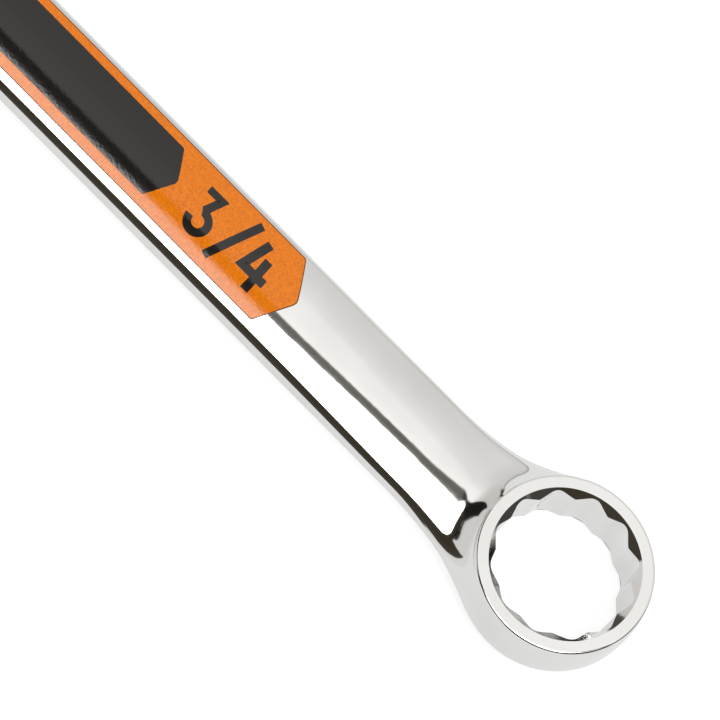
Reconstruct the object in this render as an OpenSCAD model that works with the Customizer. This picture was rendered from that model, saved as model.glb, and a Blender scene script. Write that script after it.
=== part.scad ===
// Combination wrench, 3/4 inch: twelve-point box end, open end, size label.
// The origin is the centre of the box opening. +X is the way the box end
// points and +Z is the label side. The middle of the shank lies below the
// origin, because the box end is cranked up from it.

/* [Nut] */
// Width across the flats of the nut that both ends fit
nut_flats = 19.05; // [18.5:0.05:19.2]
// Play between the nut and an opening
nut_play = 0.25; // [0.1:0.05:0.3]

/* [Box end] */
// Largest radius of the ring, at half its height
ring_r = 13.45; // [13.3:0.05:14]
// Height of the ring
ring_h = 9.9; // [9.6:0.1:10.6]
// How far the ring's wall draws in towards each rim
ring_draft = 0.4; // [0.2:0.05:0.6]
// Rounding of the ring's upper rim
top_rim = 0.2; // [0.2:0.1:0.4]
// Rounding of the ring's lower rim
low_rim = 2.1; // [1.6:0.1:2.2]
// Radius of the mouth of the lead-in chamfers
mouth_r = 11.2; // [11.1:0.05:11.5]
// Rounding of the twelve notches
notch_round = 1.9; // [1.2:0.1:2.2]
// Rounding of the ridges between the notches
ridge_round = 0.6; // [0.3:0.1:1]
// Angle by which the ring is tipped up from the shank
ring_tilt = 7.5; // [6:0.5:10]
// Height of the ring's centre above the middle of the shank
ring_lift = 2.1; // [1.8:0.1:2.6]
// Radius of the fillets between the shank and the ring
ring_fillet = 5; // [4:0.5:6]

/* [Shank] */
// Half the width of the shank
shank_w = 7.97; // [7.8:0.01:8.1]
// Half the width of the neck behind the box end
neck_w = 8.02; // [7.9:0.01:8.1]
// Half the thickness of the shank
shank_t = 3.1; // [3:0.05:3.3]
// Half the height of the upright land along each side
side_land = 0.8; // [0.6:0.05:0.9]
// Height above the middle at which a bevel would meet the side
bevel_edge = 1.56; // [1.5:0.02:1.64]
// Rise of the bevels across the shank, per millimetre
bevel_slope = 0.33; // [0.3:0.01:0.36]
// Where the neck's flare meets the ring, as an angle from the shank
flare_angle = 66; // [64:1:68]

/* [Open end] */
// Distance between the centres of the two nuts
centres = 249.5; // [230:0.5:260]
// Angle between the jaws and the shank
jaw_angle = 15; // [12:1:18]
// Outer radius of the open head
open_r = 20.2; // [20:0.1:21]
// Thickness of the open head
open_h = 8; // [7.6:0.1:8.6]
// Distance from the nut's centre back to the centre of the outer radius
open_back = 1.5; // [1:0.1:2]
// Distance from the nut's centre to the front of the jaws
jaw_reach = 10.5; // [9.5:0.1:11.5]
// Distance from the nut's centre to the bottom of the throat
throat = 11.8; // [11.6:0.1:12.4]
// Rounding of the jaws in plan
jaw_round = 3.5; // [3:0.1:4]
// Rounding of the open head's edges
open_edge = 1.4; // [1:0.1:1.8]
// Bevel at the mouth of the jaws
mouth_bevel = 0.8; // [0.5:0.1:1.2]
// Radius of the flare between the shank and the open head
open_flare = 32; // [28:1:36]
// Radius of the fillets between the shank and the open head
open_fillet = 5; // [4:0.5:6]

/* [Label] */
// Distance from the box centre to the label's near tip
label_start = 52.8; // [50:0.1:60]
// Length of the label from tip to tip
label_length = 112; // [90:1:130]
// Thickness of the label film
film_t = 0.12; // [0.1:0.01:0.2]
// Distance from the box centre to the dark panel's near tip
panel_start = 76.6; // [74:0.1:80]
// Length of the dark panel from tip to tip
panel_length = 78; // [60:1:80]
// Thickness of the print that makes the dark panel
print_t = 0.06; // [0.05:0.01:0.1]

/* [Hidden] */

opening = nut_flats + nut_play;

// The neck widens in one arc that runs tangent into the ring.
flare_r = (ring_r * sin(flare_angle) - neck_w) / (1 - sin(flare_angle));
flare_x = -(ring_r + flare_r) * cos(flare_angle);
flare_end = -ring_r * cos(flare_angle);
widen_start = flare_x - 16;
// Width of the soft bend where the shank's middle starts to climb
crank_soft = 1;
// The bevels sink a little towards the box end.
thin_start = -55;
thin_end = -25;
thin_drop = 0.23;
// In the neck the upright lands turn into sides that lean in, under
// flatter bevels.
neck_start = -25;
neck_full = -15.5;
neck_swell = 0.3;
neck_land = 0.1;
neck_round = 1.9;
neck_edge = 1.22;
neck_slope = 0.26;
// The loft ends inside the ring, a little short of the ring's own wall.
inset_start = -12;
loft_end = -3;
loft_inset = 0.3;
// Depth under a head's faces at which the fillets meet its wall
top_run_out = 0.25;
low_run_out = 1.35;
open_run_out = 0.6;
// The ring's upper fillet is rounder over the middle of the shank, and
// ends lower beside it, from one distance off the middle to the other.
top_fillet = 7;
wing_run_out = 0.7;
wing_start = 0.3;
wing_full = 4.3;
// Largest climb of the fillets, as a share of their radius
ring_steepest = 0.6;
open_steepest = 0.4;
// Depth under a head's faces at which the loft levels off inside it
top_stop = 0.15;
low_stop = 0.5;

// Open head: centre of its outer radius, seen from the box centre.
open_x = -centres + open_back * cos(jaw_angle);
open_y = -open_back * sin(jaw_angle);

// Sideways offsets, in from the edge, at which a section is sampled
edge_round = 1.2;
edge_angles = [0, 22, 45, 67, 90];
top_steps = 7;
crown_r = 60;
soften = 0.5;

// Reach of the label across the shank, and the length of its points
film_low = -5.8;
film_high = 6.9;
film_point = 3.4;
panel_low = -4.3;
panel_high = 5.2;
panel_point = 2.5;

function smooth(t) =
    let (u = min(max(t, 0), 1))
    u * u * (3 - 2 * u);
function mix(a, b, t) = a + (b - a) * t;
// The lower of two heights, blended over a band k wide
function soft_min(a, b, k) =
    let (h = max(k - abs(a - b), 0) / k)
    min(a, b) - h * h * k / 4;

// Height of the middle of the shank, neck and ring at x
function mid_z(x) = -soft_min(ring_lift, -x * tan(ring_tilt), crank_soft);

// Where the flare of the open head starts and ends, on the side +1 or -1
function open_start(side) =
    open_x + sqrt(pow(open_r + open_flare, 2)
                  - pow(side * (shank_w + open_flare) - open_y, 2));
function open_meet(side) =
    mix(open_x, open_start(side), open_r / (open_r + open_flare));
function open_width(x, side) =
    let (start = open_start(side), meet = open_meet(side), at = max(x, meet))
    shank_w + open_flare
    - (at < start ? sqrt(pow(open_flare, 2) - pow(at - start, 2)) : open_flare)
    - loft_inset * smooth((meet + 7 - x) / 7);

// 0 on the shank, 1 where the neck's sides lean into the ring
function neck(x) = smooth((x - neck_start) / (neck_full - neck_start));

// Half width of the shank, neck and flares at x
function half_w(x, side) =
    x > flare_x
    ? flare_r + neck_w - sqrt(pow(flare_r, 2) - pow(min(x, flare_end) - flare_x, 2))
      + neck_swell * neck(x) * smooth((flare_end - x) / 5)
      - loft_inset * smooth((x - inset_start) / (flare_end - inset_start))
    : x > -centres / 2
    ? mix(shank_w, neck_w, smooth((x - widen_start) / (flare_x - widen_start)))
    : open_width(x, side);

// Height of a section above its middle, at the offset e in from its edge
function edge_turn(x) = mix(edge_round, neck_round, neck(x));
function bevel_h(e, x) =
    mix(bevel_edge - thin_drop * smooth((x - thin_start) / (thin_end - thin_start)),
        neck_edge, neck(x))
    + mix(bevel_slope, neck_slope, neck(x)) * e;
function body_h(e, y, x) =
    let (
        h = soft_min(bevel_h(e, x), shank_t - y * y / (2 * crown_r), soften),
        land = mix(side_land, neck_land, neck(x)),
        turn = edge_turn(x)
    )
    e >= turn ? h : land + (h - land) * sqrt(1 - pow(1 - e / turn, 2));

// Radii of the two heads' walls at the height z in their own frames
function rim_drop(z, h, rim) =
    let (over = min(max(abs(z) - h / 2 + rim, 0), rim))
    rim - sqrt(rim * rim - over * over);
function wall_r(z) = ring_r - ring_draft * pow(2 * z / ring_h, 2);
function ring_wall(z) = wall_r(z) - rim_drop(z, ring_h, z > 0 ? top_rim : low_rim);
function open_wall(z) = open_r - rim_drop(z, open_h, open_edge);

// Rise of a fillet of radius r at the distance d from a wall, where the
// fillet climbs by gap in all, or by most if that is less
function fillet_rise(d, gap, r, most) =
    let (
        g = min(max(gap, 0.02), most),
        reach = sqrt(g * (2 * r - g)) - max(d, 0)
    )
    reach <= 0 ? 0 : r - sqrt(r * r - reach * reach);

// The shank's surface at x, y, raised from the height z into a head's
// wall. Up is 1 above and -1 below. The ring leans, so its wall is
// measured at a guessed height.
function ring_side(x, y, z, up, guess) =
    let (
        wing = up > 0 ? smooth((abs(y) - wing_start) / (wing_full - wing_start)) : 1,
        r = mix(top_fillet, ring_fillet, wing),
        cap = ring_h / 2 - (up > 0 ? mix(top_run_out, wing_run_out, wing) : low_run_out),
        gap = cap - up * (z * cos(ring_tilt) - x * sin(ring_tilt)),
        d = norm([x * cos(ring_tilt) + guess * sin(ring_tilt), y]) - ring_wall(up * cap)
    )
    z + up * fillet_rise(d, gap, r, ring_steepest * ring_fillet) / cos(ring_tilt);
function open_side(x, y, z, up) =
    let (
        cap = open_h / 2 - open_run_out,
        d = norm([x - open_x, y - open_y]) - open_wall(cap)
    )
    z + up * fillet_rise(d, cap - up * (z + ring_lift), open_fillet,
                         open_steepest * open_fillet);

function upper_z(x, y, h) =
    let (z = mid_z(x) + h)
    max(z, x > -centres / 2
        ? min(ring_side(x, y, z, 1, ring_side(x, y, z, 1, z)),
              x * tan(ring_tilt) + ring_h / 2 - top_stop)
        : min(open_side(x, y, z, 1), -ring_lift + open_h / 2 - top_stop));
function lower_z(x, y, h) =
    let (z = mid_z(x) - h)
    min(z, x > -centres / 2
        ? max(ring_side(x, y, z, -1, ring_side(x, y, z, -1, z)),
              x * tan(ring_tilt) - ring_h / 2 + low_stop)
        : max(open_side(x, y, z, -1), -ring_lift - open_h / 2 + top_stop));

// Offsets from the edge to the middle of the section at x, half width w
function offsets(w, x) = concat(
    [for (a = edge_angles) edge_turn(x) * (1 - cos(a))],
    [for (i = [1:top_steps]) mix(edge_turn(x), w, i / top_steps)]);

// One half of a section's upper or lower line, from its edge to its middle
function half_line(x, side, up) =
    let (w = half_w(x, side))
    [for (e = offsets(w, x))
        let (y = side * (w - e), h = body_h(e, w - e, x))
        [x, y, up ? upper_z(x, y, h) : lower_z(x, y, h)]];

function reversed(list) = [for (i = [len(list) - 1:-1:0]) list[i]];
function but_last(list) = [for (i = [0:len(list) - 2]) list[i]];

// A closed section, round from the +Y edge over the top and back below
function section(x) = concat(
    but_last(half_line(x, 1, true)),
    reversed(half_line(x, -1, true)),
    but_last(half_line(x, -1, false)),
    reversed(half_line(x, 1, false)));

function steps(from, to, count) =
    [for (i = [0:count - 1]) mix(from, to, i / count)];

stations = concat(
    steps(-centres + 10.5, open_meet(1), 2),
    steps(open_meet(1), open_start(1) - 4, 14),
    steps(open_start(1) - 4, open_start(1) + 2, 3),
    [open_start(1) + 2],
    steps(thin_start, neck_start, 7),
    steps(neck_start, -18, 7),
    steps(-18, inset_start, 8),
    steps(inset_start, flare_end, 6),
    [flare_end, loft_end]);

// A solid through a list of closed sections with equal numbers of points
module loft(sections) {
    rows = len(sections);
    n = len(sections[0]);
    polyhedron(
        points = [for (s = sections) each s],
        faces = concat(
            [[for (j = [0:n - 1]) j]],
            [[for (j = [n - 1:-1:0]) (rows - 1) * n + j]],
            [for (i = [0:rows - 2], j = [0:n - 1])
                let (a = i * n + j, b = i * n + (j + 1) % n)
                each [[a, a + n, b + n], [a, b + n, b]]]));
}

module shank() {
    loft([for (x = stations) section(x)]);
}

// Points of an arc from one angle to another, both included
function arc(centre, r, from, to, count) =
    [for (i = [0:count])
        let (t = mix(from, to, i / count))
        centre + r * [cos(t), sin(t)]];

// The ring before it is broached: a turned blank with a drafted wall
module ring_blank() {
    top_z = ring_h / 2 - top_rim;
    low_z = -ring_h / 2 + low_rim;
    profile = concat(
        [[0, -ring_h / 2]],
        arc([wall_r(low_z) - low_rim, low_z], low_rim, -90, 0, 6),
        [for (i = [1:7]) let (z = mix(low_z, top_z, i / 8)) [wall_r(z), z]],
        arc([wall_r(top_z) - top_rim, top_z], top_rim, 0, 90, 4),
        [[0, ring_h / 2]]);
    rotate_extrude($fn = 96) polygon(profile);
}

// Two hexagons turned 30 degrees apart, with round notches and ridges
function star() =
    let (
        notch = opening / 2 / cos(30) - notch_round / sin(60),
        ridge = (opening / 2 + ridge_round) / cos(15)
    )
    [for (k = [0:11])
        let (a = 15 + 30 * k, b = a + 15)
        each concat(
            arc(notch * [cos(a), sin(a)], notch_round, a - 30, a + 30, 6),
            arc(ridge * [cos(b), sin(b)], ridge_round, b + 195, b + 165, 3))];

module twelve_point_opening() {
    over = 0.5;
    lead = 2.5;
    linear_extrude(2 * ring_h, center = true) polygon(star());
    for (side = [0, 1]) {
        mirror([0, 0, side]) {
            translate([0, 0, ring_h / 2 - lead]) {
                cylinder(h = lead + over, r1 = mouth_r - lead, r2 = mouth_r + over, $fn = 96);
            }
        }
    }
}

// Outline of the open head without its gap, drawn in by d. The nut's
// centre is the origin and the jaws point along +X.
function open_outline(d) =
    let (
        corner_x = jaw_reach - jaw_round,
        corner_y = sqrt(pow(open_r - jaw_round, 2) - pow(corner_x + open_back, 2)),
        turn = atan2(corner_y, corner_x + open_back)
    )
    concat(
        but_last(arc([corner_x, corner_y], jaw_round - d, 0, turn, 7)),
        but_last(arc([-open_back, 0], open_r - d, turn, 360 - turn, 64)),
        arc([corner_x, -corner_y], jaw_round - d, -turn, 0, 7));

module open_blank() {
    turns = [0, 18, 36, 54, 72, 90];
    upper = [for (a = turns)
        [open_edge * (1 - cos(a)), open_h / 2 - open_edge * (1 - sin(a))]];
    levels = concat([for (u = reversed(upper)) [u[0], -u[1]]], upper);
    loft([for (l = levels) [for (p = open_outline(l[0])) [p[0], p[1], l[1]]]]);
}

module jaw_gap() {
    half = opening / 2;
    linear_extrude(2 * open_h, center = true) {
        union() {
            translate([half - throat, 0]) circle(r = half, $fn = 96);
            translate([half - throat, -half]) square([2 * jaw_reach, opening]);
            polygon([
                [jaw_reach - mouth_bevel, -half],
                [jaw_reach + mouth_bevel, -half - 2 * mouth_bevel],
                [jaw_reach + mouth_bevel, half + 2 * mouth_bevel],
                [jaw_reach - mouth_bevel, half]]);
        }
    }
}

module at_box_end() {
    rotate([0, -ring_tilt, 0]) children();
}

module at_open_end() {
    translate([-centres, 0, -ring_lift]) rotate([0, 0, 180 - jaw_angle]) children();
}

module forged_body() {
    color([0.80, 0.80, 0.78]) {
        difference() {
            union() {
                shank();
                at_box_end() ring_blank();
                at_open_end() open_blank();
            }
            at_box_end() twelve_point_opening();
            at_open_end() jaw_gap();
        }
    }
}

// The straight shank's section in the plane across it, raised by lift
function raised_section(lift) =
    let (x = -centres / 2, rim = shank_w)
    concat(
        [[rim, -ring_lift]],
        [for (p = but_last(half_line(x, 1, true))) [p[1], p[2] + lift]],
        [for (p = reversed(half_line(x, -1, true))) [p[1], p[2] + lift]],
        [[-rim, -ring_lift]]);

// A layer on the straight shank between two heights over its surface
module shank_layer(low, high) {
    reach = centres;
    translate([-reach, 0, 0]) {
        rotate([90, 0, 90]) {
            linear_extrude(reach) {
                difference() {
                    polygon(raised_section(high));
                    polygon(raised_section(low));
                }
            }
        }
    }
}

// Plan of a strip with a blunt point at each end
function pointed_strip(start, length, low_y, high_y, point) =
    let (middle = (low_y + high_y) / 2)
    [
        [-start, middle],
        [-start - point, high_y],
        [point - start - length, high_y],
        [-start - length, middle],
        [point - start - length, low_y],
        [-start - point, low_y]];

module label_film() {
    color([0.95, 0.56, 0.12]) {
        intersection() {
            shank_layer(0, film_t);
            linear_extrude(4 * ring_lift, center = true) {
                polygon(pointed_strip(label_start, label_length,
                                      film_low, film_high, film_point));
            }
        }
    }
}

module label_panel() {
    color([0.18, 0.17, 0.17]) {
        intersection() {
            shank_layer(film_t, film_t + print_t);
            linear_extrude(4 * ring_lift, center = true) {
                polygon(pointed_strip(panel_start, panel_length,
                                      panel_low, panel_high, panel_point));
            }
        }
    }
}

forged_body();
label_film();
label_panel();
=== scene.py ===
"""Looks of the combination wrench: chrome forging, printed label, studio."""
import math

import bmesh
import bpy
import numpy as np
from mathutils import Matrix, Vector
from mathutils.geometry import tessellate_polygon


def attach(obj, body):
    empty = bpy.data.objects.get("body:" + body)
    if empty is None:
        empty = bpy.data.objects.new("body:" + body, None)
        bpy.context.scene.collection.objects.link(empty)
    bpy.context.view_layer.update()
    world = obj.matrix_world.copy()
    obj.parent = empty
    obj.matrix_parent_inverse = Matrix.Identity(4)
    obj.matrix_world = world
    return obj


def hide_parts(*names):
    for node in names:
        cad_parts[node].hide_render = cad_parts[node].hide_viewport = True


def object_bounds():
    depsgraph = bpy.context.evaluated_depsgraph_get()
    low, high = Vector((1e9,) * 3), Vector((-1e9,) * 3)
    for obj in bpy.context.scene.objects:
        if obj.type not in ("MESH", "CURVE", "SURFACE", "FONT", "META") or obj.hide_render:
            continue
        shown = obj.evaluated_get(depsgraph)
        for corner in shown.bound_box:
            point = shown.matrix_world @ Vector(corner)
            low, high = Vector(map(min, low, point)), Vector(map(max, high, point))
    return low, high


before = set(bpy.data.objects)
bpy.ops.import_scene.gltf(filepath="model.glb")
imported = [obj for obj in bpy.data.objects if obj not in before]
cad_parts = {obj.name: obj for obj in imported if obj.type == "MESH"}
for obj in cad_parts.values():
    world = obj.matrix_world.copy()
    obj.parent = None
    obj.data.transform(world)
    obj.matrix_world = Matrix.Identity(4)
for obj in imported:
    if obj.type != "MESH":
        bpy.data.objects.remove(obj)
cad_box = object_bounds()

MM = 0.001

# ---------------------------------------------------------------- sizes, mm
# the nut and the play it has in both openings
NUT_FLATS = 19.05
NUT_PLAY = 0.25
OPENING = NUT_FLATS + NUT_PLAY
# the box end: its wall, its two rims and its twelve-point opening
RING_R = 13.45
RING_H = 9.9
RING_DRAFT = 0.4
TOP_RIM = 0.35
LOW_RIM = 2.1
MOUTH_R = 11.2
MOUTH_SLOPE = 0.82
MOUTH_LAND = 0.12
RIM_LAND = 0.15
NOTCH_ROUND = 1.9
RIDGE_ROUND = 0.6
# its crank, and the fillets where the shank runs into it above and below
RING_TILT = math.radians(7.5)
RING_LIFT = 2.1
RING_FILLET = 5.0
LOW_RUN_OUT = 1.35
TOP_FILLET = 7.0
TOP_RUN_OUT = 0.03
# the upper fillet's wings, towards the neck's sides
WING_RUN_OUT = 1.0
WING_START = 0.3
WING_FULL = 7.2
# the shank, in half widths and half thicknesses, with its land and bevels
SHANK_W = 7.97
NECK_W = 8.02
SHANK_T = 3.1
SIDE_LAND = 0.8
BEVEL_EDGE = 1.56
BEVEL_SLOPE = 0.33
FLARE_ANGLE = math.radians(66)
# the open end
CENTRES = 249.5
JAW_ANGLE = math.radians(15)
OPEN_R = 20.2
OPEN_H = 8.0
OPEN_BACK = 1.5
JAW_REACH = 10.5
THROAT = 11.8
JAW_ROUND = 3.5
OPEN_EDGE = 1.4
JAW_EDGE = 0.25
MOUTH_BEVEL = 0.8
LEAST_BEVEL = 0.05
OPEN_FLARE = 32.0
OPEN_FILLET = 5.0
OPEN_RUN_OUT = 0.25
# how the shank's surfaces run into each other, and the label's over them
CROWN_R = 60.0
SOFTEN = 0.62
FILM_SOFTEN = 0.95
EDGE_ROUND = 1.2
CRANK_SOFT = 1.0
# the stretch where the bevels drop a little towards the neck
THIN_START = -55.0
THIN_END = -25.0
THIN_DROP = 0.23
# the neck, where the sides lean into the ring
NECK_START = -25.0
NECK_FULL = -15.5
NECK_SWELL = 0.2
SWELL_FADE = 5.0
NECK_LAND = 0.1
NECK_ROUND = 1.9
NECK_EDGE = 1.22
NECK_SLOPE = 0.26
WIDEN_LENGTH = 16.0

FLARE_R = (RING_R * math.sin(FLARE_ANGLE) - NECK_W) / (1 - math.sin(FLARE_ANGLE))
FLARE_X = -(RING_R + FLARE_R) * math.cos(FLARE_ANGLE)
FLARE_END = -RING_R * math.cos(FLARE_ANGLE)
WIDEN_START = FLARE_X - WIDEN_LENGTH
OPEN_X = -CENTRES + OPEN_BACK * math.cos(JAW_ANGLE)
OPEN_Y = -OPEN_BACK * math.sin(JAW_ANGLE)


def smooth(t):
    """0 below 0, 1 above 1, and a smooth step between."""
    u = np.clip(t, 0, 1)
    return u * u * (3 - 2 * u)


def mix(a, b, t):
    """From a at 0 to b at 1."""
    return a + (b - a) * t


def soft_min(a, b, k):
    """The lower of two values, rounded off where they are less than k apart."""
    h = np.maximum(k - np.abs(a - b), 0) / k
    return np.minimum(a, b) - h * h * k / 4


# ------------------------------------------------- the shank's own surface
def mid_z(x):
    """Height of the middle of the shank, neck and ring."""
    return -soft_min(RING_LIFT, -x * math.tan(RING_TILT), CRANK_SOFT)


def open_start(side):
    """Where the shank's side begins to flare out to the open end."""
    across = side * (SHANK_W + OPEN_FLARE) - OPEN_Y
    return OPEN_X + np.sqrt((OPEN_R + OPEN_FLARE) ** 2 - across**2)


def open_meet(side):
    """Where that flare touches the open end's outer wall."""
    return mix(OPEN_X, open_start(side), OPEN_R / (OPEN_R + OPEN_FLARE))


def neck(x):
    """0 on the shank, 1 where the neck's sides lean into the ring."""
    return smooth((x - NECK_START) / (NECK_FULL - NECK_START))


def half_w(x, side):
    """Half width of the shank and its two flares."""
    x = np.asarray(x, float)
    ring_side = FLARE_R + NECK_W - np.sqrt(
        FLARE_R**2 - (np.clip(x, FLARE_X, FLARE_END) - FLARE_X) ** 2)
    plain = mix(SHANK_W, NECK_W, smooth((x - WIDEN_START) / (FLARE_X - WIDEN_START)))
    start = open_start(side)
    at = np.clip(x, open_meet(side), start)
    open_side = SHANK_W + OPEN_FLARE - np.sqrt(OPEN_FLARE**2 - (at - start) ** 2)
    swell = NECK_SWELL * neck(x) * smooth((FLARE_END - x) / SWELL_FADE)
    return swell + np.where(x > FLARE_X, ring_side,
                            np.where(x > -CENTRES / 2, plain, open_side))


def body_h(e, y, x, soften=SOFTEN):
    """Height over the middle, at the offset e in from the edge."""
    k = neck(x)
    land = mix(SIDE_LAND, NECK_LAND, k)
    turn = mix(EDGE_ROUND, NECK_ROUND, k)
    thin = THIN_DROP * smooth((x - THIN_START) / (THIN_END - THIN_START))
    bevel = (mix(BEVEL_EDGE - thin, NECK_EDGE, k) + mix(BEVEL_SLOPE, NECK_SLOPE, k) * e)
    h = soft_min(bevel, SHANK_T - y * y / (2 * CROWN_R), soften)
    inside = np.clip(1 - e / turn, 0, 1)
    return np.where(e >= turn, h, land + (h - land) * np.sqrt(1 - inside**2))


# columns across the shank: close together on its rounded edges, even on its top
EDGE_SAMPLES = [1 - math.cos(math.radians(a)) for a in range(0, 90, 15)]
TOP_STEPS = 18
HALF_COLUMNS = len(EDGE_SAMPLES) + TOP_STEPS
COLUMNS = 2 * HALF_COLUMNS + 1
COLUMN = np.arange(COLUMNS)
COLUMN_SIDE = np.where(COLUMN <= HALF_COLUMNS, 1, -1)
COLUMN_STEP = np.minimum(COLUMN, 2 * HALF_COLUMNS - COLUMN)
COLUMN_INSET = np.array(EDGE_SAMPLES + [1.0] * (TOP_STEPS + 1))[COLUMN_STEP]
COLUMN_SHARE = np.clip((COLUMN_STEP - len(EDGE_SAMPLES)) / TOP_STEPS, 0, 1)


def shank_points(x, up):
    """The points of all the surface columns at x (one number, or one for each column)."""
    x = x + np.zeros(COLUMNS)
    w = half_w(x, COLUMN_SIDE)
    e = mix(COLUMN_INSET * mix(EDGE_ROUND, NECK_ROUND, neck(x)), w, COLUMN_SHARE)
    y = COLUMN_SIDE * (w - e)
    return np.stack([x, y, mid_z(x) + up * body_h(e, np.abs(y), x)], -1)


# --------------------------------------------------- frames of the two heads
class Placed:
    """A head's own frame: x along its axis of reach, z through its faces."""

    def __init__(self, centre, tilt):
        self.centre = np.array(centre, float)
        self.turn = np.array([[math.cos(tilt), 0, -math.sin(tilt)], [0, 1, 0],
                              [math.sin(tilt), 0, math.cos(tilt)]])

    def out(self, p):
        """From the head's frame to the row's."""
        return np.asarray(p) @ self.turn.T + self.centre

    def into(self, p):
        """From the row's frame to the head's."""
        return (np.asarray(p) - self.centre) @ self.turn


RING = Placed((0, 0, 0), RING_TILT)
OPEN = Placed((OPEN_X, OPEN_Y, -RING_LIFT), 0)


def rim_drop(z, h, rim):
    """How far a rounded rim draws a wall in at the height z."""
    over = np.clip(np.abs(z) - (h / 2 - rim), 0, rim)
    return rim - np.sqrt(rim**2 - over**2)


def ring_wall(z):
    """Radius of the ring's wall at the height z."""
    draft = RING_DRAFT * (2 * z / RING_H) ** 2
    return RING_R - draft - rim_drop(z, RING_H, TOP_RIM if z > 0 else LOW_RIM)


def open_wall(z):
    """Radius of the open end's wall at the height z."""
    return OPEN_R - rim_drop(z, OPEN_H, OPEN_EDGE)


def top_fillet(y):
    """Height where the ring's upper fillet ends on the wall, and its radius."""
    wing = smooth((y - WING_START) / (WING_FULL - WING_START))
    return (RING_H / 2 - mix(TOP_RUN_OUT, WING_RUN_OUT, wing),
            mix(TOP_FILLET, RING_FILLET, wing))


def low_fillet(y):
    """The same for the ring's lower fillet."""
    return RING_H / 2 - LOW_RUN_OUT + 0 * y, RING_FILLET + 0 * y


def open_fillet(y):
    """The same for both fillets of the open end."""
    return OPEN_H / 2 - OPEN_RUN_OUT + 0 * y, OPEN_FILLET + 0 * y


def polar(placed, points):
    """Distances from a head's axis, angles and heights."""
    p = placed.into(points)
    return np.hypot(p[:, 0], p[:, 1]), np.arctan2(p[:, 1], p[:, 0]), p[:, 2]


HALVINGS = 44


def x_at_radius(placed, r, up, inner, outer):
    """Where each surface column passes the distance r from a head's axis."""
    lo, hi = np.full(COLUMNS, inner), np.full(COLUMNS, outer)
    for _ in range(HALVINGS):
        x = (lo + hi) / 2
        beyond = polar(placed, shank_points(x, up))[0] > r
        lo, hi = np.where(beyond, lo, x), np.where(beyond, x, hi)
    return x


# ------------------------------------------------------------ mesh builder
class Builder:
    """Collects points and faces in millimetres."""

    def __init__(self):
        self.points = []
        self.faces = []

    def add(self, p):
        """Adds a point and gives its number."""
        self.points.append(np.asarray(p, float))
        return len(self.points) - 1

    def grid(self, rows, wrap=False):
        """Quads between rows of point numbers."""
        for a, b in zip(rows, rows[1:]):
            last = len(a) if wrap else len(a) - 1
            for i in range(last):
                j = (i + 1) % len(a)
                self.faces.append([a[i], a[j], b[j], b[i]])

    def zip_rings(self, a, b, angle_a, angle_b):
        """Triangles between two closed rings sorted by angle."""
        full = 2 * math.pi
        i = j = 0
        while i < len(a) or j < len(b):
            next_a = angle_a[(i + 1) % len(a)] + full * ((i + 1) // len(a))
            next_b = angle_b[(j + 1) % len(b)] + full * ((j + 1) // len(b))
            pa, pb = a[i % len(a)], b[j % len(b)]
            if j >= len(b) or (i < len(a) and next_a <= next_b):
                self.faces.append([pa, a[(i + 1) % len(a)], pb])
                i += 1
            else:
                self.faces.append([pa, b[(j + 1) % len(b)], pb])
                j += 1

    def fill(self, loop):
        """Triangles over a flat outline."""
        outline = [Vector(self.points[i]) for i in loop]
        for tri in tessellate_polygon([outline]):
            self.faces.append([loop[k] for k in tri])

    def build(self, name, sharp=28):
        """A smooth-shaded object, with edges of more than sharp degrees kept hard."""
        bm = bmesh.new()
        verts = [bm.verts.new(p * MM) for p in self.points]
        for loop in self.faces:
            face = bm.faces.new([verts[i] for i in loop])
            face.smooth = True
        bmesh.ops.recalc_face_normals(bm, faces=bm.faces)
        for e in bm.edges:
            if len(e.link_faces) == 2:
                e.smooth = e.calc_face_angle(0) < math.radians(sharp)
        mesh = bpy.data.meshes.new(name)
        bm.to_mesh(mesh)
        bm.free()
        piece = bpy.data.objects.new(name, mesh)
        bpy.context.collection.objects.link(piece)
        return piece


def arc(cx, cy, r, start, end, count):
    """Points of an arc in degrees, both ends included."""
    return [(cx + r * math.cos(math.radians(mix(start, end, i / count))),
             cy + r * math.sin(math.radians(mix(start, end, i / count))))
            for i in range(count + 1)]


# ------------------------------------------------------------- the forging
# rows of a head's wall: two banks at its faces, and one between for the shank's gap
WALL_ROWS = 12
MID_ROWS = 8
ROWS = 2 * WALL_ROWS + MID_ROWS
ROW_CROWDING = 1.3
PROFILE_POINTS = 800
# rows along a fillet, and on from there to the plain shank
FILLET_ROWS = 14
FILLET_PASSES = 3
LEAST_FILLET = 0.02
BLEND_ROWS = 14
# columns over which a wall's banks settle from the gap's height to a plain one
SETTLE_COLUMNS = 8
RING_COLUMNS = 160
RING_PLAIN = (2.8, -2.0)
BORE_ROWS = 8
# how far along the shank a head's fillets are looked for, and where its blend ends
NECK_REACH = -24.0
NECK_END = -26.0
JAWS_START = 4.0
JAWS_END = -212.0


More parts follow.
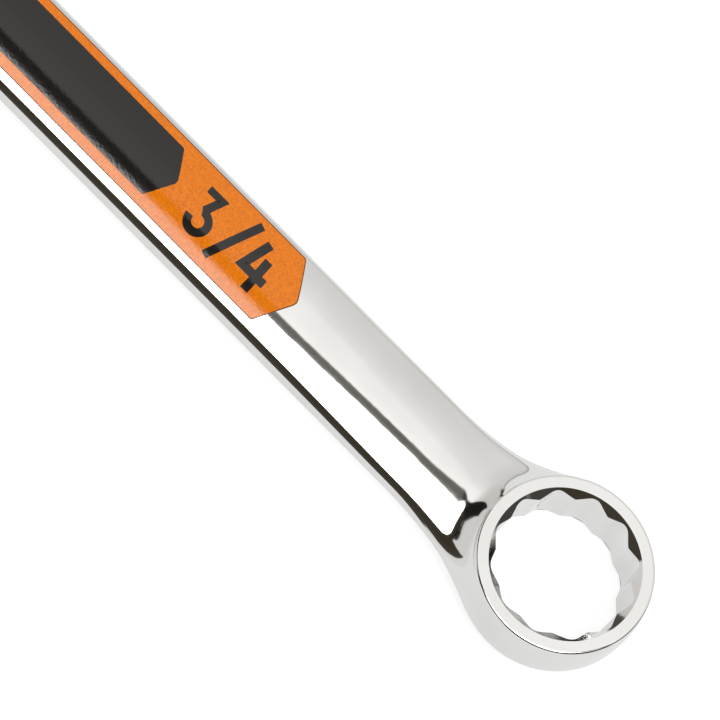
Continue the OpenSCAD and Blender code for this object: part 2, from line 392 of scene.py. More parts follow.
class Head:
    """A head's outer wall, with the gap in it that the shank grows out of."""

    def __init__(self, make, placed, wall, h, fillets, inner, outer):
        self.make = make
        self.placed = placed
        self.wall = wall
        self.inner = inner
        self.outer = outer
        self.profiles = []
        for up in (1, -1):
            z = np.linspace(h / 2, 0, PROFILE_POINTS)
            r = np.array([wall(up * t) for t in z])
            step = np.hypot(np.diff(z), np.diff(r))
            self.profiles.append((z, np.concatenate([[0], np.cumsum(step)])))
        self.meets = [self.meet(up, fillet) for up, fillet in zip((1, -1), fillets)]

    def meet(self, up, fillet):
        """The rows of the fillet, from its end on the wall down to the shank's surface."""
        cap, big = fillet(np.zeros(COLUMNS))
        for _ in range(FILLET_PASSES):
            wall = np.array([self.wall(up * c) for c in cap])
            x = x_at_radius(self.placed, wall, up, self.inner, self.outer)
            p = shank_points(x, up)
            cap, big = fillet(np.abs(p[:, 1]))
        _, angle, surface = polar(self.placed, p)
        gap = np.clip(cap - up * surface, LEAST_FILLET, big)
        steep = np.arccos(1 - gap / big)
        rows = []
        for k in range(FILLET_ROWS + 1):
            turn = steep * (1 - k / FILLET_ROWS)
            out = big * (np.sin(steep) - np.sin(turn))
            x = x_at_radius(self.placed, wall + out, up, self.inner, self.outer)
            p = shank_points(x, up)
            here = np.clip(cap - up * polar(self.placed, p)[2], LEAST_FILLET, big)
            reach = np.maximum(np.sqrt(here * (2 * big - here)) - out, 0)
            lift = up * (big - np.sqrt(big**2 - reach**2))
            rows.append(p + lift[:, None] * self.placed.turn[:, 2])
        return {"angle": angle % (2 * math.pi), "z": up * cap,
                "end": x, "rows": rows}

    def levels(self, z_up, z_low):
        """Heights of the rows of one wall column, closest together at the faces."""
        out = []
        for up, z_end in ((1, z_up), (-1, -z_low)):
            z, run = self.profiles[0 if up > 0 else 1]
            end = np.interp(-z_end, -z, run)
            spots = np.concatenate([end * np.linspace(0, 1, WALL_ROWS + 1) ** ROW_CROWDING,
                                    np.linspace(end, run[-1], MID_ROWS // 2 + 1)[1:]])
            out.append(up * np.interp(spots, run, z))
        return np.concatenate([out[0], out[1][-2::-1]])

    def wall_column(self, place, z_up, z_low):
        """Point numbers of one column; place(row share, z) gives a point in row millimetres."""
        share = np.clip((np.arange(ROWS + 1) - WALL_ROWS) / MID_ROWS, 0, 1)
        return [self.make.add(place(s, z)) for s, z in zip(share, self.levels(z_up, z_low))]

    def round_place(self, angle_up, angle_low):
        """A place on the round wall, at an angle that may differ above and below."""
        def place(share, z):
            r = self.wall(z)
            t = mix(angle_up, angle_low, share)
            return self.placed.out([r * math.cos(t), r * math.sin(t), z])
        return place

    def sector_columns(self):
        """The wall's columns where it meets the shank, one for each surface column."""
        top, low = self.meets
        low["angle"] = low["angle"] + 2 * math.pi * np.round(
            (top["angle"] - low["angle"]) / (2 * math.pi))
        return [self.wall_column(self.round_place(top["angle"][c], low["angle"][c]),
                                 top["z"][c], low["z"][c]) for c in range(COLUMNS)]

    def wall_faces(self, columns):
        """Quads of the closed wall, apart from the gap for the shank."""
        count = len(columns)
        for i in range(count):
            j = (i + 1) % count
            for r in range(ROWS):
                in_gap = i < COLUMNS - 1 and WALL_ROWS <= r < WALL_ROWS + MID_ROWS
                if not in_gap:
                    self.make.faces.append([columns[i][r], columns[j][r],
                                            columns[j][r + 1], columns[i][r + 1]])

    def gap_loop(self, columns):
        """Point numbers round the gap: top, -Y side, bottom, +Y side."""
        top, low = WALL_ROWS, WALL_ROWS + MID_ROWS
        last = COLUMNS - 1
        return ([columns[c][top] for c in range(COLUMNS)]
                + [columns[last][r] for r in range(top + 1, low)]
                + [columns[c][low] for c in range(last, -1, -1)]
                + [columns[0][r] for r in range(low - 1, top, -1)])

    def bulges(self, loop):
        """How far the wall's side points stand off the straight line between edges."""
        p = self.make.points
        n = COLUMNS
        sides = ((loop[n - 1], loop[n - 1 + MID_ROWS], loop[n:n - 1 + MID_ROWS]),
                 (loop[2 * n - 2 + MID_ROWS], loop[0], loop[2 * n - 1 + MID_ROWS:]))
        return [[p[i] - mix(p[start], p[end], (k + 1) / MID_ROWS)
                 for k, i in enumerate(inner)] for start, end, inner in sides]


def tube_loop(make, upper, lower, bulges=None, share=0.0):
    """One closed ring of the shank from its upper and lower lines."""
    def side_line(start, end, side):
        """The points between the two lines on one side."""
        for k in range(1, MID_ROWS):
            off = bulges[side][k - 1] * share if bulges else 0
            ids.append(make.add(mix(start, end, k / MID_ROWS) + off))

    ids = [make.add(p) for p in upper]
    side_line(upper[-1], lower[-1], 0)
    ids += [make.add(p) for p in lower[::-1]]
    side_line(lower[0], upper[0], 1)
    return ids


def neck_loops(make, head, columns, far):
    """Rings of points from a head's wall along its fillet, then on to the station far."""
    first = head.gap_loop(columns)
    bulges = head.bulges(first)
    loops = [first]
    for k in range(1, FILLET_ROWS + 1):
        loops.append(tube_loop(make, *[m["rows"][k] for m in head.meets],
                               bulges, 1 - k / FILLET_ROWS))
    for k in range(1, BLEND_ROWS + 1):
        lines = [shank_points(mix(m["end"], far, k / BLEND_ROWS), up)
                 for up, m in zip((1, -1), head.meets)]
        loops.append(tube_loop(make, *lines))
    return loops


def star_outline():
    """Points round the twelve-point opening, from 0 to 360 degrees."""
    def unit(deg):
        """The unit vector at an angle."""
        return np.array([math.cos(math.radians(deg)), math.sin(math.radians(deg))])

    notch = OPENING / 2 / math.cos(math.radians(30)) - NOTCH_ROUND / math.sin(math.radians(60))
    ridge = (OPENING / 2 + RIDGE_ROUND) / math.cos(math.radians(15))
    pts = []
    for k in range(12):
        a = 15 + 30 * k
        before, after = ridge * unit(a - 15), ridge * unit(a + 15)
        part = [before - RIDGE_ROUND * unit(a - 15 - t) for t in (0, 7.5, 15)]
        arc_pts = [notch * unit(a) + NOTCH_ROUND * unit(a + t) for t in range(-30, 31, 6)]
        part += [mix(part[-1], arc_pts[0], t) for t in (1 / 3, 2 / 3)]
        part += arc_pts
        end = [after - RIDGE_ROUND * unit(a + 15 + t) for t in (15, 7.5)]
        part += [mix(arc_pts[-1], end[0], t) for t in (1 / 3, 2 / 3)] + end
        pts += part
    return np.array(pts)


def add_ring(make):
    """The box end: drafted wall, flat faces, chamfers and twelve-point opening.

    Gives the head, its wall's columns, and the faces of the opening's walls.
    """
    head = Head(make, RING, ring_wall, RING_H, (top_fillet, low_fillet), 0.0, NECK_REACH)
    columns = head.sector_columns()
    first, last = ([m["angle"][i] for m in head.meets] for i in (0, -1))
    for k in range(1, RING_COLUMNS):
        turns = [mix(b, a + 2 * math.pi, k / RING_COLUMNS) for a, b in zip(first, last)]
        away = smooth(min(k, RING_COLUMNS - k) / SETTLE_COLUMNS)
        z_up, z_low = (mix(m["z"][0], z, away) for m, z in zip(head.meets, RING_PLAIN))
        columns.append(head.wall_column(head.round_place(*turns), z_up, z_low))
    head.wall_faces(columns)

    star = star_outline()
    turn = np.arctan2(star[:, 1], star[:, 0]) % (2 * math.pi)
    turn[0] = 0.0
    radius = np.hypot(star[:, 0], star[:, 1])
    for up, row in ((1, 0), (-1, ROWS)):
        local = [RING.into(make.points[col[row]]) for col in columns]
        angles = [math.atan2(p[1], p[0]) % (2 * math.pi) for p in local]
        order = sorted(range(len(columns)), key=lambda i: angles[i])
        edge = [columns[i][row] for i in order]
        edge_turn = [angles[i] for i in order]
        inset = [make.add(RING.out([p[0] * (1 - RIM_LAND / math.hypot(p[0], p[1])),
                                    p[1] * (1 - RIM_LAND / math.hypot(p[0], p[1])), p[2]]))
                 for p in (local[i] for i in order)]
        make.grid([edge, inset], wrap=True)
        z = up * RING_H / 2
        # a row just outside the mouth, at -1, and then five down its chamfer
        rows = []
        for s in (-1, 0, 0.25, 0.5, 0.75, 1):
            r = MOUTH_R + MOUTH_LAND if s < 0 else mix(MOUTH_R, radius, s)
            drop = 0 if s < 0 else MOUTH_SLOPE * (MOUTH_R - r)
            rows.append([make.add(RING.out(p)) for p in
                         np.stack([r * np.cos(turn), r * np.sin(turn),
                                   z - up * drop + 0 * turn], 1)])
        make.zip_rings(inset, rows[0], edge_turn, list(turn))
        make.grid(rows, wrap=True)
        if up > 0:
            top = rows[-1]
        else:
            low = rows[-1]
    walls = [top]
    for k in range(1, BORE_ROWS):
        walls.append([make.add(mix(make.points[a], make.points[b], k / BORE_ROWS))
                      for a, b in zip(top, low)])
    first_face = len(make.faces)
    make.grid(walls + [low], wrap=True)
    return head, columns, range(first_face, len(make.faces))


def add_open_head(make):
    """The open end: rounded outer wall, flat faces and the jaws' gap."""
    head = Head(make, OPEN, open_wall, OPEN_H, (open_fillet,) * 2, OPEN_X + JAWS_START, JAWS_END)
    columns = head.sector_columns()
    half = OPENING / 2
    corner_x = JAW_REACH - JAW_ROUND
    corner_y = math.sqrt((OPEN_R - JAW_ROUND) ** 2 - (corner_x + OPEN_BACK) ** 2)
    turn = math.degrees(math.atan2(corner_y, corner_x + OPEN_BACK))
    lean = math.pi - JAW_ANGLE

    def spun(x, y, z):
        """From the jaws' own frame, with x out through their mouth, to the row's."""
        return np.array([-CENTRES + x * math.cos(lean) - y * math.sin(lean),
                         x * math.sin(lean) + y * math.cos(lean), z - RING_LIFT])

    def outer(cx, cy, r, deg):
        """A place on an outer arc of the jaws."""
        t = math.radians(deg)

        def place(share, z):
            d = rim_drop(z, OPEN_H, OPEN_EDGE)
            return spun(cx + (r - d) * math.cos(t), cy + (r - d) * math.sin(t), z)
        return place

    def front(s, side):
        """A place on a jaw's front, from its outer corner at 0 to the mouth at 1."""
        def place(share, z):
            d = rim_drop(z, OPEN_H, OPEN_EDGE)
            g = rim_drop(z, OPEN_H, JAW_EDGE)
            y = max(half + MOUTH_BEVEL - d, half + g)
            return spun(JAW_REACH - d, side * mix(corner_y, y, s), z)
        return place

    def jaw(s, side):
        """A place on a jaw's inner flat, from the mouth at 0 to the throat at 1."""
        def place(share, z):
            d = rim_drop(z, OPEN_H, OPEN_EDGE)
            g = rim_drop(z, OPEN_H, JAW_EDGE)
            start = min(JAW_REACH - MOUTH_BEVEL + g, JAW_REACH - d - LEAST_BEVEL)
            return spun(mix(start, half - THROAT, s), side * (half + g), z)
        return place

    def throat(deg):
        """A place on the arc between the two flats."""
        t = math.radians(deg)

        def place(share, z):
            g = rim_drop(z, OPEN_H, JAW_EDGE)
            return spun(half - THROAT + (half + g) * math.cos(t), (half + g) * math.sin(t), z)
        return place

    def steps(start, end, count, last=False):
        """Even steps after the start, with or without the end itself."""
        return [mix(start, end, k / count) for k in range(1, count + (1 if last else 0))]

    near, far = ((math.degrees(head.meets[0]["angle"][i] - lean)) % 360 for i in (-1, 0))
    places = [outer(-OPEN_BACK, 0, OPEN_R, t) for t in steps(near, turn, 56, True)]
    places += [outer(corner_x, corner_y, JAW_ROUND, t) for t in steps(turn, 0, 10, True)]
    places += [front(s, 1) for s in steps(0, 1, 6, True)]
    places += [jaw(s, 1) for s in [0] + steps(0, 1, 12, True)]
    places += [throat(t) for t in steps(90, 270, 44)]
    places += [jaw(s, -1) for s in [1] + steps(1, 0, 12, True)]
    places += [front(s, -1) for s in [1] + steps(1, 0, 6, True)]
    places += [outer(corner_x, -corner_y, JAW_ROUND, t) for t in steps(0, -turn, 10, True)]
    places += [outer(-OPEN_BACK, 0, OPEN_R, t) for t in steps(360 - turn, far, 36)]
    ends = [m["z"][0] for m in head.meets]
    plain = OPEN_H / 2 - OPEN_EDGE
    for k, place in enumerate(places):
        away = smooth(min(k + 1, len(places) - k) / SETTLE_COLUMNS)
        columns.append(head.wall_column(place, mix(ends[0], plain, away),
                                        mix(ends[1], -plain, away)))
    head.wall_faces(columns)
    for row in (0, ROWS):
        make.fill([col[row] for col in columns])
    return head, columns


def forging():
    """The whole wrench body as one closed mesh, with the opening's walls as material 1."""
    make = Builder()
    ring, ring_columns, broached = add_ring(make)
    jaws, jaw_columns = add_open_head(make)
    near = neck_loops(make, ring, ring_columns, NECK_END)
    far = neck_loops(make, jaws, jaw_columns, JAWS_END)
    # closest together where the neck's form changes most
    stations = ([-26 - 0.7 * k for k in range(1, 28)] + [-45 - 1.5 * k for k in range(1, 11)]
                + [-60 - 4.9 * k for k in range(1, 30)] + [-205, -208, -210.5])
    middle = [tube_loop(make, *[shank_points(x, up) for up in (1, -1)]) for x in stations]
    make.grid(near + middle + far[::-1], wrap=True)
    piece = make.build("forged_body_visual")
    for i in broached:
        piece.data.polygons[i].material_index = 1
    return piece


# ---------------------------------------------------------------- the label
# the film and the dark print on it: thickness, place, points and corner roundings
FILM_T = 0.12
PRINT_T = 0.05
FILM_START = 52.7
FILM_LENGTH = 112.0
FILM_Y = (-5.88, 6.78)
FILM_POINT = 3.2
FILM_ROUND = (1.2, 0.5)
# the width of the band round the film's edge that carries painted shade
FILM_EDGE_SHADE_WIDTH = 0.17
PANEL_START = 76.6
PANEL_LENGTH = 78.0
PANEL_Y = (-4.3, 5.2)
PANEL_POINT = 2.5
PANEL_ROUND = (1.0, 0.25)
# the printed digits
INK_T = 0.02
INK_OVERLAP = 0.004
STROKE = 1.25
STROKE_STEP = 0.35
MITRE_LIMIT = 0.45
FOUR_WEIGHT = 1.08
# how far prints reach into what carries them, and the mesh of a strip
SUNK_STRIP = 0.02
SUNK_INK = 0.01
TIP_GAP = 0.004
NOSE_MARGIN = 1.5
NOSE_STATIONS = 26
PLAIN_STATIONS = 40
STRIP_COLUMNS = 44
LEAST_BORDER = 0.01


def top_z(x, y, lift):
    """Height of the shank's upper surface at a plan point, plus a lift."""
    e = half_w(x, np.where(np.asarray(y) >= 0, 1, -1)) - np.abs(y)
    return mid_z(x) + body_h(e, np.abs(y), x, FILM_SOFTEN) + lift


def rounded(corners, radii, steps=6):
    """A closed outline with its corners rounded."""
    out = []
    n = len(corners)
    for i, (p, r) in enumerate(zip(corners, radii)):
        p = np.array(p, float)
        a = np.array(corners[i - 1], float) - p
        b = np.array(corners[(i + 1) % n], float) - p
        a, b = a / np.linalg.norm(a), b / np.linalg.norm(b)
        half_turn = math.acos(float(np.clip(a @ b, -1, 1))) / 2
        reach = r / math.tan(half_turn)
        mid = (a + b) / np.linalg.norm(a + b)
        centre = p + mid * r / math.sin(half_turn)
        start, end = p + a * reach - centre, p + b * reach - centre
        turn = math.atan2(start[0] * end[1] - start[1] * end[0], float(start @ end))
        for k in range(steps + 1):
            t = turn * k / steps
            out.append(centre + [start[0] * math.cos(t) - start[1] * math.sin(t),
                                 start[0] * math.sin(t) + start[1] * math.cos(t)])
    return np.array(out)


def span_at(outline, x):
    """Lowest and highest y of a convex outline at x."""
    ys = []
    for p, q in zip(outline, np.roll(outline, -1, axis=0)):
        lo, hi = sorted((p[0], q[0]))
        if lo - 1e-9 <= x <= hi + 1e-9 and hi - lo > 1e-9:
            ys.append(p[1] + (q[1] - p[1]) * (x - p[0]) / (q[0] - p[0]))
    return min(ys), max(ys)


def pointed(start, length, low_y, high_y, point, tip_r, side_r, inset=0.0):
    """The outline of a strip that is pointed at both ends, drawn in by an inset."""
    middle = (low_y + high_y) / 2
    lean = math.atan2(point, (high_y - low_y) / 2)
    tip = inset / math.cos(lean)
    side = inset * (1 / math.cos(lean) - math.tan(lean))
    near, far = -start, -start - length
    return rounded(
        [(near - tip, middle), (near - point - side, high_y - inset),
         (far + point + side, high_y - inset), (far + tip, middle),
         (far + point + side, low_y + inset), (near - point - side, low_y + inset)],
        [tip_r, side_r, side_r, tip_r, side_r, side_r])


def strip(name, shape, base, thick, edge_shade_width=0.0):
    """A thin pointed strip that follows the shank's upper surface, with an edge band of painted
    shade.
    """
    outline = pointed(*shape)
    inner = pointed(*shape, inset=edge_shade_width)
    x0, x1 = outline[:, 0].max() - TIP_GAP, outline[:, 0].min() + TIP_GAP
    in0, in1 = inner[:, 0].max() - TIP_GAP, inner[:, 0].min() + TIP_GAP
    nose = shape[4] + NOSE_MARGIN
    near = in0 - nose * (1 - np.cos(np.linspace(0, math.pi / 2, NOSE_STATIONS)))
    far = in1 + nose * (1 - np.cos(np.linspace(math.pi / 2, 0, NOSE_STATIONS)))
    xs = np.concatenate([[x0, mix(x0, in0, 0.5)], near,
                         np.linspace(near[-1], far[0], PLAIN_STATIONS)[1:-1], far,
                         [mix(in1, x1, 0.5), x1]])
    # without an edge band of painted shade the ends' stations fall together, and one of each is
    # kept
    xs = np.unique(xs.round(6))[::-1]
    share = np.linspace(0, 1, STRIP_COLUMNS)
    make = Builder()
    layers = []
    for lift in (base + thick, base - SUNK_STRIP):
        rows = []
        for x in xs:
            lo, hi = span_at(outline, x)
            if in1 <= x <= in0:
                a, b = span_at(inner, x)
                lo_in, hi_in = max(a, lo + LEAST_BORDER), min(b, hi - LEAST_BORDER)
            else:
                lo_in, hi_in = mix(lo, hi, 0.45), mix(lo, hi, 0.55)
            y = np.concatenate([[lo], mix(lo_in, hi_in, share), [hi]])
            z = top_z(np.full_like(y, x), y, lift)
            rows.append([make.add(p) for p in np.stack([np.full_like(y, x), y, z], 1)])
        make.grid(rows)
        layers.append(rows)
    top, low = layers

    def rim(rows):
        """Point numbers once round a layer's edge."""
        return (rows[0] + [r[-1] for r in rows[1:-1]] + rows[-1][::-1]
                + [r[0] for r in rows[-2:0:-1]])

    make.grid([rim(top), rim(low)], wrap=True)
    piece = make.build(name, sharp=40)
    # the edge band and the film's thin sides take the second material: painted shade along the
    # film's edge
    if edge_shade_width:
        for face in piece.data.polygons:
            x, y = face.center.x / MM, face.center.y / MM
            face.material_index = int(not in1 < x < in0 or not (
                span_at(inner, x)[0] < y < span_at(inner, x)[1]))
    return piece


def stroke(make, path, width, base, thick):
    """A printed line of even width, with mitred turns, on the shank's upper surface."""
    path = [np.array(p, float) for p in path]
    fine = []
    for p, q in zip(path, path[1:]):
        count = max(1, round(float(np.linalg.norm(q - p)) / STROKE_STEP))
        fine += [mix(p, q, k / count) for k in range(count)]
    fine.append(path[-1])
    sides = []
    for i, p in enumerate(fine):
        back = p - fine[i - 1] if i else fine[1] - p
        ahead = fine[i + 1] - p if i < len(fine) - 1 else back
        back, ahead = back / np.linalg.norm(back), ahead / np.linalg.norm(ahead)
        way = (back + ahead) / np.linalg.norm(back + ahead)
        reach = width / 2 / max(abs(float(way @ ahead)), MITRE_LIMIT)
        sides.append(np.array([-way[1], way[0]]) * reach)
    rows = []
    for p, s in zip(fine, sides):
        ring = []
        for lift, across in ((base + thick, (-1, -0.5, 0, 0.5, 1)),
                             (base - SUNK_INK, (1, 0.5, 0, -0.5, -1))):
            for t in across:
                q = p + s * t
                ring.append(make.add([q[0], q[1], float(top_z(q[0], q[1], lift))]))
        rows.append(ring)
    make.grid(rows, wrap=True)
    make.faces += [rows[0], rows[-1]]


def size_mark(base):
    """The plain size number, three quarters, as printed strokes, in the row's own plan."""
    make = Builder()
    three = [(-72.7, 3.45), (-70.05, 3.45), (-71.05, 0.8)]
    three += arc(-70.87, -1.42, 1.6, 82, -180, 24)
    stroke(make, three, STROKE, base, INK_T)
    stroke(make, [(-67.1, -4.15), (-63.5, 5.4)], STROKE, base, INK_T)
    heavy = STROKE * FOUR_WEIGHT
    stroke(make, [(-60.95, 4.1), (-62.3, -1.13), (-58.0, -1.13)], heavy, base, INK_T)
    stroke(make, [(-59.65, 1.95), (-59.65, -3.65)], heavy, base, INK_T + INK_OVERLAP)
    return make.build("label_size_mark", sharp=40)


body = forging()
film = strip("label_film_visual",
             (FILM_START, FILM_LENGTH, *FILM_Y, FILM_POINT, *FILM_ROUND), 0, FILM_T, FILM_EDGE_SHADE_WIDTH)
panel = strip("label_panel_visual",
              (PANEL_START, PANEL_LENGTH, *PANEL_Y, PANEL_POINT, *PANEL_ROUND), FILM_T, PRINT_T)
mark = size_mark(FILM_T)


# ---------------------------------------------------------------- materials
def material(name):
    """A new material with its node tree and Principled shader."""
    mat = bpy.data.materials.new(name)
    mat.use_nodes = True
    tree = mat.node_tree
    tree.nodes.clear()
    out = tree.nodes.new("ShaderNodeOutputMaterial")
    bsdf = tree.nodes.new("ShaderNodeBsdfPrincipled")
    tree.links.new(bsdf.outputs[0], out.inputs[0])
    return mat, tree, bsdf


def add(tree, kind, **values):
    """A new node with the given settings."""
    node = tree.nodes.new(kind)
    for key, value in values.items():
        setattr(node, key, value)
    return node


def noise(tree, scale, detail=3.0, stretch=None):
    """Solid noise over the piece's own place, in metres."""
    place = add(tree, "ShaderNodeTexCoord")
    tex = add(tree, "ShaderNodeTexNoise")
    tex.inputs["Scale"].default_value = scale
    tex.inputs["Detail"].default_value = detail
    if stretch:
        mapping = add(tree, "ShaderNodeMapping")
        mapping.inputs["Scale"].default_value = stretch
        tree.links.new(place.outputs["Object"], mapping.inputs["Vector"])
        tree.links.new(mapping.outputs[0], tex.inputs["Vector"])
    else:
        tree.links.new(place.outputs["Object"], tex.inputs["Vector"])
    return tex.outputs["Fac"]


def spread(tree, value, low, high):
    """A noise value mapped to the range from low to high."""
    node = add(tree, "ShaderNodeMapRange")
    node.inputs["To Min"].default_value = low
    node.inputs["To Max"].default_value = high
    tree.links.new(value, node.inputs["Value"])
    return node.outputs[0]


def bump(tree, bsdf, value, distance, normal=None):
    """Relief of a height in metres, over another bump's normal if one is given."""
    node = add(tree, "ShaderNodeBump")
    node.inputs["Strength"].default_value = 1.0
    node.inputs["Distance"].default_value = distance
    tree.links.new(value, node.inputs["Height"])
    if normal is not None:
        tree.links.new(normal, node.inputs["Normal"])
    tree.links.new(node.outputs[0], bsdf.inputs["Normal"])
    return node.outputs[0]


def two_tone(tree, bsdf, value, low, high):
    """Base colour that wanders between two colours."""
    ramp = add(tree, "ShaderNodeValToRGB")
    ramp.color_ramp.elements[0].position = 0.35
    ramp.color_ramp.elements[1].position = 0.65
    ramp.color_ramp.elements[0].color = (*low, 1)
    ramp.color_ramp.elements[1].color = (*high, 1)
    tree.links.new(value, ramp.inputs[0])
    tree.links.new(ramp.outputs[0], bsdf.inputs["Base Color"])


def chrome(name, broached=False):
    """Mirror-like plate with a faint waviness, and cutting streaks where it is broached."""
    mat, tree, bsdf = material(name)
    bsdf.inputs["Metallic"].default_value = 1.0
    two_tone(tree, bsdf, noise(tree, 90), (0.80, 0.80, 0.79), (0.84, 0.84, 0.83))
    tree.links.new(spread(tree, noise(tree, 260, 4), 0.05, 0.10), bsdf.inputs["Roughness"])
    wave = bump(tree, bsdf, noise(tree, 420, 2), 0.000012)
    if broached:
        bump(tree, bsdf, noise(tree, 620, 2, (1, 1, 0.05)), 0.00006, normal=wave)
    return mat


def laminate(name, low, high, grain, rough, ior):
    """Grainy print under a clear gloss film; also used for the film's painted edge shade."""
    mat, tree, bsdf = material(name)
    two_tone(tree, bsdf, noise(tree, grain, 2), low, high)
    bsdf.inputs["Roughness"].default_value = rough
    bsdf.inputs["IOR"].default_value = ior
    bump(tree, bsdf, noise(tree, 2400, 2), 0.000009)
    return mat


chrome_mat = chrome("polished_chrome")
broached_mat = chrome("broached_chrome", broached=True)
orange_mat = laminate("label_orange", (0.68, 0.158, 0.0003), (0.88, 0.224, 0.0008), 3200,
                      0.10, 1.43)
# painted shade: a dark brown line round the film's edge, where the edge stands in shadow
film_edge_shade_mat = laminate("label_painted_edge_shade", (0.16, 0.040, 0.001), (0.22, 0.055, 0.002), 3200,
                      0.25, 1.4)
charcoal_mat = laminate("label_charcoal", (0.004, 0.003, 0.0025), (0.009, 0.007, 0.006), 2600,
                        0.10, 1.55)
ink_mat = laminate("size_mark_ink", (0.005, 0.004, 0.0035), (0.010, 0.008, 0.007), 2600,
                   0.10, 1.55)

for piece, *mats in ((body, chrome_mat, broached_mat), (film, orange_mat, film_edge_shade_mat),
                     (panel, charcoal_mat), (mark, ink_mat)):
    for mat in mats:
        piece.data.materials.append(mat)
    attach(piece, "root")

weights = body.modifiers.new("weighted_normals", "WEIGHTED_NORMAL")
weights.keep_sharp = True
weights.weight = 60

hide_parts("forged_body")
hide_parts("label_film")
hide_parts("label_panel")


# -------------------------------------------------- floor, light and camera
class Shade:
    """Number nodes, for the light that comes from each direction."""

    def __init__(self, tree):
        self.tree = tree

    def math(self, kind, *values):
        """One sum of numbers or other nodes' values."""
        node = add(self.tree, "ShaderNodeMath", operation=kind)
        for socket, value in zip(node.inputs, values):
            if isinstance(value, (int, float)):
                socket.default_value = value
            else:
                self.tree.links.new(value, socket)
        return node.outputs[0]

    def step(self, value, low, high):
        """0 below low, 1 above high, smooth between."""
        node = add(self.tree, "ShaderNodeMapRange", interpolation_type="SMOOTHSTEP")
        for name, at in (("From Min", low), ("From Max", high)):
            node.inputs[name].default_value = at
        self.tree.links.new(value, node.inputs["Value"])
        return node.outputs[0]

    def ramp(self, value, stops):
        """Colours at degrees from -180 to 180."""
        share = self.math("DIVIDE", self.math("ADD", value, 180.0), 360.0)
        node = add(self.tree, "ShaderNodeValToRGB")
        elements = node.color_ramp.elements
        while len(elements) < len(stops):
            elements.new(0.5)
        for element, (deg, colour) in zip(elements, stops):
            element.position = (deg + 180) / 360
            if isinstance(colour, (int, float)):
                colour = (colour,) * 3
            element.color = (*colour, 1)
        self.tree.links.new(share, node.inputs[0])
        return node.outputs[0]

    def blend(self, share, a, b):
        """Colour a where the share is 0, and b where it is 1."""
        node = add(self.tree, "ShaderNodeMix", data_type="RGBA")
        self.tree.links.new(share, node.inputs["Factor"])
        for name, colour in (("A", a), ("B", b)):
            socket = [s for s in node.inputs if s.name == name and s.type == "RGBA"][0]
            if isinstance(colour, tuple):
                socket.default_value = (*colour, 1)
            else:
                self.tree.links.new(colour, socket)
        return [s for s in node.outputs if s.type == "RGBA"][0]


# the floor: half its width, its gap under the tool, and how bright it is to each kind of ray
FLOOR_REACH = 3000
FLOOR_DROP = 0.05
FLOOR_IN_METAL = 0.56
FLOOR_SEEN = 0.82


def floor():
    """A wide pale floor just under the tool."""
    make = Builder()
    z = cad_box[0][2] / MM - FLOOR_DROP
    make.faces.append([make.add([x * FLOOR_REACH, y * FLOOR_REACH, z])
                       for x, y in ((-1, -1), (1, -1), (1, 1), (-1, 1))])
    piece = make.build("studio_floor")
    mat, tree, bsdf = material("pale_floor")
    bsdf.inputs["Base Color"].default_value = (0.3, 0.3, 0.298, 1)
    bsdf.inputs["Roughness"].default_value = 1.0
    bsdf.inputs["Specular IOR Level"].default_value = 0.0
    bsdf.inputs["Emission Color"].default_value = (1, 1, 1, 1)
    # the pale background: white to the camera, nearly so in the metal
    path = add(tree, "ShaderNodeLightPath")
    shade = Shade(tree)
    shown = shade.math("MULTIPLY_ADD", path.outputs["Is Glossy Ray"], FLOOR_IN_METAL,
                       shade.math("MULTIPLY", path.outputs["Is Camera Ray"], FLOOR_SEEN))
    tree.links.new(shown, bsdf.inputs["Emission Strength"])
    piece.data.materials.append(mat)


# the overhead panel's strength, and the tints of the walls and of the dark between
PEAK = 6.5
NEUTRAL = (1, 0.985, 0.965)
WARM_DARK = (1, 0.8, 0.5)


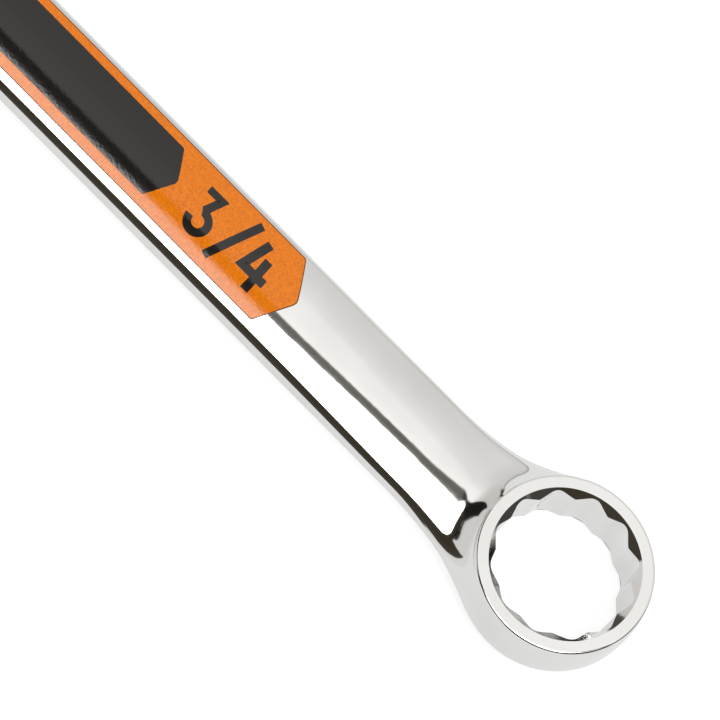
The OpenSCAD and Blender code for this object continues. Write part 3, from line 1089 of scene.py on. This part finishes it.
def studio():
    """A bright panel overhead, pale walls beyond it, and the dark gaps between them."""
    world = bpy.data.worlds.new("studio_light")
    bpy.context.scene.world = world
    world.use_nodes = True
    tree = world.node_tree
    tree.nodes.clear()
    shade = Shade(tree)
    out = add(tree, "ShaderNodeOutputWorld")
    light = add(tree, "ShaderNodeBackground")
    white = add(tree, "ShaderNodeBackground")
    swap = add(tree, "ShaderNodeMixShader")
    path = add(tree, "ShaderNodeLightPath")
    place = add(tree, "ShaderNodeTexCoord")
    split = add(tree, "ShaderNodeSeparateXYZ")
    tree.links.new(place.outputs["Generated"], split.inputs[0])
    along, across, height = split.outputs
    # degrees from straight up, towards +Y
    turn = shade.math("MULTIPLY", shade.math("ARCTAN2", across, height), 180 / math.pi)

    def dim(value, tint=NEUTRAL):
        """A colour of the given brightness, where 1 is white."""
        return tuple(value * t / PEAK for t in tint)

    def move(value, share, most, base):
        """The value less an edge's place, which moves by most degrees."""
        return shade.math("SUBTRACT", shade.math("MULTIPLY_ADD", share, -most, value), base)

    def plane(*weights):
        """A weighted sum of the direction's parts, 0 on a straight edge."""
        total = shade.math("MULTIPLY", along, weights[0])
        total = shade.math("MULTIPLY_ADD", across, weights[1], total)
        return shade.math("MULTIPLY_ADD", height, weights[2], total)

    def zone(*bounds):
        """1 inside every bound, each a value with its low and high end."""
        share = shade.step(*bounds[0])
        for bound in bounds[1:]:
            share = shade.math("MULTIPLY", share, shade.step(*bound))
        return share

    lit = shade.ramp(turn, [
        (-180, dim(0.85)), (-89, dim(0.85)), (-85, dim(0.10, (1, 0.8, 0.6))),
        (-70, dim(0.06, (1, 0.9, 0.75))), (-40, dim(0.045, WARM_DARK)),
        (-6, dim(0.04, WARM_DARK)), (-5, dim(1.12)), (12.5, dim(1.12)), (23, dim(1.03)),
        (34, dim(0.90)), (60, dim(0.76)), (84, dim(0.70)), (87, dim(0.45)),
        (90, dim(0.45)), (91, dim(0.85)), (180, dim(0.85))])
    # the greyer walls beyond the handle's end
    beyond = zone((along, -0.45, -0.8), (turn, -5, 5), (turn, 86, 80))
    lit = shade.blend(beyond, lit, dim(0.66, (1, 0.965, 0.93)))
    # dark openings low on the far side: beyond the handle, and ahead of the box end
    far_gap = zone((turn, 74, 79), (turn, 96, 94), (along, -0.70, -0.80))
    lit = shade.blend(far_gap, lit, dim(0.07, (1, 0.93, 0.8)))
    ahead = zone((along, 0.68, 0.82), (height, -0.02, 0.02))
    lit = shade.blend(ahead, lit, dim(0.06, (1, 0.95, 0.85)))
    # a pale wall low on the camera's side, and one near the floor
    low = zone((plane(1, -1.76, 0.06), 0.0, -0.06), (height, 0.79, 0.75), (turn, -5, -7))
    lit = shade.blend(low, lit, dim(0.74))
    floor_side = zone((along, -0.05, -0.15), (turn, -67, -71))
    lit = shade.blend(floor_side, lit, dim(0.8))
    # the dark gap between the panel and the walls, which leans over the handle
    left = move(turn, shade.step(along, -0.2, -0.6), -12.5, 0.3)
    left = move(left, shade.step(along, -0.5, -0.66), -6.5, 0)
    left = move(left, shade.step(along, -0.84, -0.91), 3, 0)
    right = move(turn, shade.step(along, 0.05, -0.4), -7.5, 10.3)
    right = move(right, shade.step(along, -0.5, -1.05), 50, 0)
    gap = zone((left, -1, 1), (right, 1.2, -1.2))
    deep = shade.blend(shade.step(along, 0.1, -0.12), dim(0.14, (1, 0.95, 0.84)), dim(0.012))
    lit = shade.blend(gap, lit, deep)
    # a pale wall square on to the handle's end
    end_wall = zone((along, -0.93, -0.955), (turn, -42, -38), (turn, 56, 50))
    lit = shade.blend(end_wall, lit, dim(0.72, (1, 0.965, 0.93)))
    # the overhead panel, cut off at a slant over the handle
    panel = zone((turn, -29, -24), (left, 0, -2.5), (plane(1, 1, 0.55), -0.03, 0.03),
                 (along, 0.48, 0.42))
    lit = shade.blend(panel, lit, (1.0, 1.0, 1.0))
    tree.links.new(lit, light.inputs["Color"])
    light.inputs["Strength"].default_value = PEAK
    # the camera itself sees plain white past the floor's edge
    white.inputs["Color"].default_value = (1, 1, 1, 1)
    tree.links.new(path.outputs["Is Camera Ray"], swap.inputs[0])
    tree.links.new(light.outputs[0], swap.inputs[1])
    tree.links.new(white.outputs[0], swap.inputs[2])
    tree.links.new(swap.outputs[0], out.inputs[0])


# the camera: its dip and lean from straight overhead, and its distance in metres
CAMERA_DIP = math.radians(23.2)
CAMERA_LEAN = math.radians(7.5)
CAMERA_AWAY = 2.2
# how the frame's right side lies between along the shank and across it
FRAME_RIGHT = (0.7037, 0.7105)
# the middle of the frame in mm, right and up from the box end's centre; its width in metres
FRAME_MIDDLE = (-27.41, 29.94)
FRAME_WIDTH = 0.1007
SENSOR = 36
CLIP_END = 20


def camera():
    """A long lens over the handle side, with the tool lying across the frame."""
    back = Vector((-math.cos(CAMERA_DIP) * math.sin(CAMERA_LEAN), -math.sin(CAMERA_DIP),
                   math.cos(CAMERA_DIP) * math.cos(CAMERA_LEAN)))
    shank = Vector((1, 0, 0))
    along = (shank - back * back.dot(shank)).normalized()
    across = back.cross(along)
    right = (FRAME_RIGHT[0] * along + FRAME_RIGHT[1] * across).normalized()
    up = back.cross(right)
    target = (FRAME_MIDDLE[0] * right + FRAME_MIDDLE[1] * up) * MM
    cam = bpy.data.cameras.new("photo_camera")
    cam.sensor_width = SENSOR
    cam.lens = SENSOR * CAMERA_AWAY / FRAME_WIDTH
    cam.clip_end = CLIP_END
    piece = bpy.data.objects.new("photo_camera", cam)
    bpy.context.collection.objects.link(piece)
    turn = Matrix((right, up, back)).transposed().to_4x4()
    piece.matrix_world = Matrix.Translation(target + back * CAMERA_AWAY) @ turn
    bpy.context.scene.camera = piece


floor()
studio()
camera()
bpy.context.scene.view_settings.view_transform = "Standard"
